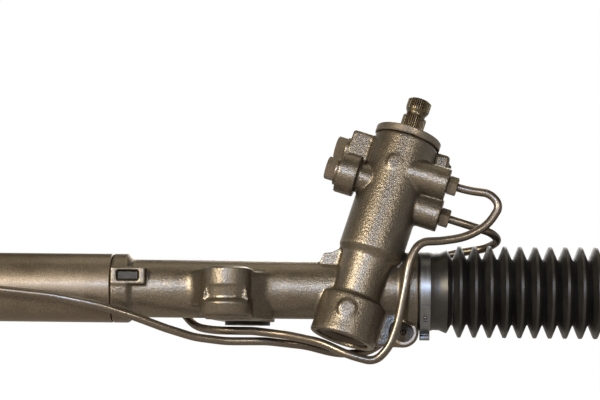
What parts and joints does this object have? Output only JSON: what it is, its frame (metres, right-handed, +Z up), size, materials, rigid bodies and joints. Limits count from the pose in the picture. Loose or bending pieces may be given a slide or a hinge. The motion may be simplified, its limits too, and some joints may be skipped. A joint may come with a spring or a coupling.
{
  "type": "power steering rack",
  "caption": "Hydraulic rack and pinion steering gear with a leaning valve tower, a cylinder tube, steel feed pipes, convoluted rubber bellows and tie rods on ball joints.",
  "frame": {"origin": "centre of the front mounting bolt bore, at the height of the rack axis", "axes": "+X along the rack towards the pinion end, +Y from the front bolt boss across the rack axis, +Z up along the mounting bolt"},
  "size_m": [1.196, 0.1158, 0.1958],
  "materials": {
    "cast": "metallic brown-grey paint over a cast skin",
    "tube_paint": "metallic brown-grey paint over smooth steel",
    "plug_paint": "metallic brown-grey paint",
    "pipe_paint": "metallic grey-brown paint over drawn pipe",
    "steel": "machined",
    "shaft_steel": "yellowed oiled steel",
    "clamp_steel": "bright band",
    "aluminium": "machined",
    "rubber": "matte black",
    "plastic": "moulded"
  },
  "bodies": {
    "housing": {"pinion_housing": "cast", "cylinder_tube": "tube_paint", "tube_port_left": "tube_paint", "tube_port_right": "tube_paint", "end_gland": "aluminium", "gland_ring": "steel", "rack_bush": "plastic", "inner_rack_seal": "rubber", "outer_rack_seal": "rubber", "right_bush_rubber": "rubber", "right_bush_sleeve": "steel", "left_bracket": "cast", "left_bush_rubber": "rubber", "left_bush_sleeve": "steel", "bearing_outer_ring": "steel", "bearing_balls": "steel", "bottom_plug": "tube_paint", "pinion_bush": "plastic", "pinion_seal": "rubber", "valve_cover": "tube_paint", "upper_bearing": "steel", "input_shaft_seal": "rubber", "rack_guide": "aluminium", "yoke_spring": "steel", "yoke_plug": "tube_paint", "yoke_locknut": "tube_paint", "front_port_plug": "plug_paint", "rear_port_plug": "plug_paint", "pipe_nuts": "pipe_paint", "front_pipe": "pipe_paint", "rear_pipe": "pipe_paint", "left_bellows": "rubber", "right_bellows": "rubber", "left_large_clamp": "clamp_steel", "right_large_clamp": "clamp_steel"},
    "rack": {"rack_bar": "steel", "piston": "steel", "piston_ring": "plastic", "left_socket": "steel", "right_socket": "steel"},
    "pinion": {"pinion_gear": "steel", "valve_sleeve": "steel", "sleeve_rings": "plastic", "sleeve_pin": "steel", "torsion_bar": "steel", "bearing_inner_ring": "steel", "bearing_nut": "steel"},
    "input": {"input_shaft": "shaft_steel", "torsion_bar_pin": "steel"},
    "left_seat": {"left_ball_seat": "plastic"},
    "right_seat": {"right_ball_seat": "plastic"},
    "left_rod": {"left_tie_rod": "steel", "left_jam_nut": "steel", "left_small_clip": "clamp_steel"},
    "right_rod": {"right_tie_rod": "steel", "right_jam_nut": "steel", "right_small_clip": "clamp_steel"}
  },
  "joints": [
    {"name": "rack_slide", "type": "slide", "parent": "housing", "child": "rack", "axis": [1, 0, 0], "range_m": [-0.066, 0.066], "deforming": ["left_bellows", "right_bellows"]},
    {"name": "pinion_turn", "type": "hinge", "parent": "housing", "child": "pinion", "pos_m": [0.0946, 0.01176, 0.00282], "axis": [0.2974, 0.174, 0.9388], "range_deg": [-520, 520]},
    {"name": "input_twist", "type": "hinge", "parent": "pinion", "child": "input", "pos_m": [0.11244, 0.0222, 0.05915], "axis": [0.2974, 0.174, 0.9388], "range_deg": [-4.5, 4.5], "stiffness_Nm_per_rad": 90},
    {"name": "left_ball_rise", "type": "hinge", "parent": "rack", "child": "left_seat", "pos_m": [-0.4105, 0.027, 0], "axis": [0, 1, 0], "range_deg": [-14, 14]},
    {"name": "left_ball_steer", "type": "hinge", "parent": "left_seat", "child": "left_rod", "pos_m": [-0.4105, 0.027, 0], "axis": [0, 0, 1], "range_deg": [-5, 5]},
    {"name": "right_ball_rise", "type": "hinge", "parent": "rack", "child": "right_seat", "pos_m": [0.2155, 0.027, 0], "axis": [0, 1, 0], "range_deg": [-14, 14]},
    {"name": "right_ball_steer", "type": "hinge", "parent": "right_seat", "child": "right_rod", "pos_m": [0.2155, 0.027, 0], "axis": [0, 0, 1], "range_deg": [-5, 5]}
  ],
  "couplings": [
    {"joint": "pinion_turn", "follows": "rack_slide", "rad_per_m": -136.39}
  ]
}
